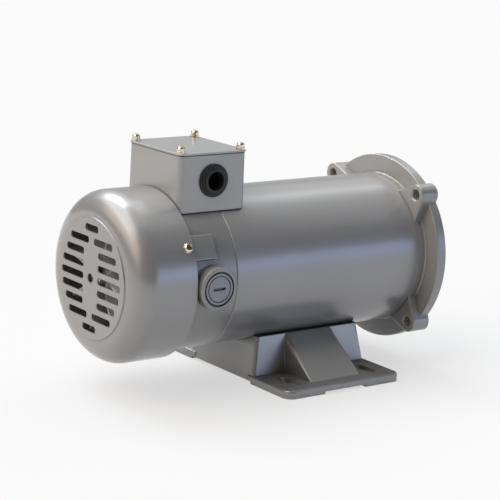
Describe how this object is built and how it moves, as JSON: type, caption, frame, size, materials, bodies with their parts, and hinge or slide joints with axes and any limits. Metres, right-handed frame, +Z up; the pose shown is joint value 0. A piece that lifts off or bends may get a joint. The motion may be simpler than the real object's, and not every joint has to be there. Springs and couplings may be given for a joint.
{
  "type": "dc motor",
  "caption": "Closed fan-cooled DC motor with slotted cast feet, drilled face flange, keyed shaft, brushes and a terminal box; drives feeders and conveyors.",
  "frame": {"origin": "middle of the four foot slots, on the plane the feet rest on", "axes": "+X along the shaft towards its driven end, +Z up; the cable entry faces -Y"},
  "size_m": [0.3426, 0.1768, 0.1908],
  "materials": {
    "tube_paint": "satin",
    "cast_paint": "satin",
    "sheet_paint": "satin",
    "cap_plastic": "satin",
    "black_plastic": "matte",
    "zinc_steel": "satin",
    "yellow_zinc": "satin",
    "ferrite": "matte",
    "black_rubber": "matte",
    "bearing_steel": "polished",
    "spring_steel": "satin",
    "ground_steel": "satin",
    "lamination_steel": "satin",
    "copper_wire": "satin",
    "commutator_copper": "satin",
    "fan_plastic": "satin",
    "carbon": "matte"
  },
  "bodies": {
    "stator": {"motor_tube": "tube_paint", "front_end_bell": "cast_paint", "rear_end_bell": "cast_paint", "through_bolts": "zinc_steel", "magnet_left": "ferrite", "magnet_right": "ferrite", "shaft_seal": "black_rubber", "bearing_washer": "bearing_steel", "front_bearing_outer_ring": "bearing_steel", "rear_bearing_outer_ring": "bearing_steel", "brush_holder_left": "black_plastic", "brush_holder_right": "black_plastic", "brush_cap_left": "cap_plastic", "brush_cap_right": "cap_plastic", "brush_spring_left": "spring_steel", "brush_spring_right": "spring_steel", "fan_cover": "sheet_paint", "fan_cover_screws": "yellow_zinc", "terminal_box": "cast_paint", "terminal_box_gasket": "black_rubber", "terminal_box_screws": "yellow_zinc", "terminal_box_lid": "sheet_paint", "lid_gasket": "black_rubber", "lid_screws": "yellow_zinc", "cable_grommet": "black_rubber", "base": "cast_paint", "base_bolts": "zinc_steel"},
    "rotor": {"shaft": "ground_steel", "armature_core": "lamination_steel", "armature_winding": "copper_wire", "commutator_bars": "commutator_copper", "commutator_hub": "black_plastic", "front_bearing_inner_ring": "bearing_steel", "rear_bearing_inner_ring": "bearing_steel", "cooling_fan": "fan_plastic", "fan_retaining_ring": "spring_steel"},
    "front_ball_set": {"front_bearing_balls": "bearing_steel", "front_bearing_cage": "bearing_steel"},
    "rear_ball_set": {"rear_bearing_balls": "bearing_steel", "rear_bearing_cage": "bearing_steel"},
    "left_brush": {"brush_left": "carbon"},
    "right_brush": {"brush_right": "carbon"}
  },
  "joints": [
    {"name": "rotor_spin", "type": "hinge", "parent": "stator", "child": "rotor", "pos_m": [0, 0, 0.0889], "axis": [1, 0, 0], "continuous": true},
    {"name": "front_balls_orbit", "type": "hinge", "parent": "stator", "child": "front_ball_set", "pos_m": [0.0922, 0, 0.0889], "axis": [1, 0, 0], "continuous": true},
    {"name": "rear_balls_orbit", "type": "hinge", "parent": "stator", "child": "rear_ball_set", "pos_m": [-0.1346, 0, 0.0889], "axis": [1, 0, 0], "continuous": true},
    {"name": "left_brush_slide", "type": "slide", "parent": "stator", "child": "left_brush", "axis": [0, 1, 0], "range_m": [0, 0.006], "stiffness_N_per_m": 100, "springref_m": -0.015, "deforming": ["brush_spring_left"]},
    {"name": "right_brush_slide", "type": "slide", "parent": "stator", "child": "right_brush", "axis": [0, -1, 0], "range_m": [0, 0.006], "stiffness_N_per_m": 100, "springref_m": -0.015, "deforming": ["brush_spring_right"]}
  ],
  "couplings": [
    {"joint": "front_balls_orbit", "follows": "rotor_spin", "ratio": 0.3845},
    {"joint": "rear_balls_orbit", "follows": "rotor_spin", "ratio": 0.3845}
  ]
}
